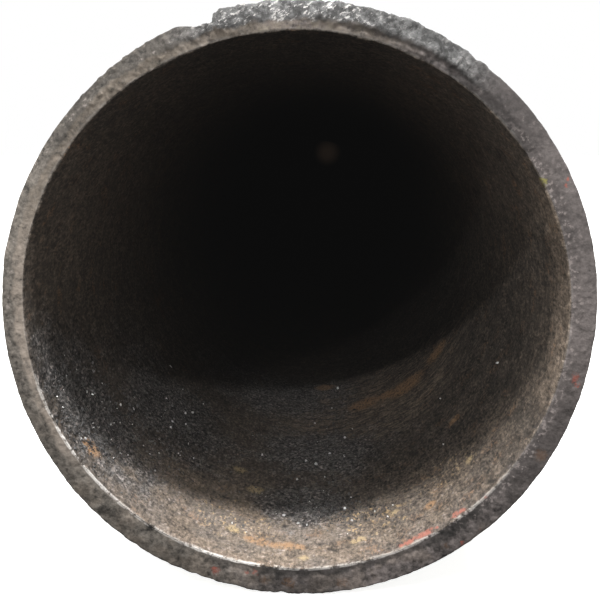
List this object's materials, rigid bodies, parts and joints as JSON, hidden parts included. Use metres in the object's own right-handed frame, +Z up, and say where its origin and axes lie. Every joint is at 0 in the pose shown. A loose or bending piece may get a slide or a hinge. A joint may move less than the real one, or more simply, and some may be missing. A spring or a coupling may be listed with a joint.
{
  "type": "corroded steel pipe",
  "caption": "Long round steel pipe, thickly rusted inside and out, open at both ends, with weld-bevelled ends and a flake broken out of one rim.",
  "frame": {"origin": "on the floor below the pipe's outside axis, halfway along its length", "axes": "+Y along the pipe from the near mouth to the far one, +Z up; the near mouth faces -Y"},
  "size_m": [0.2188, 6, 0.2189],
  "materials": {
    "rusted_steel": "matt brown-black rust scale with orange and tan patches over bare steel"
  },
  "bodies": {
    "root": {"pipe": "rusted_steel"}
  },
  "joints": []
}
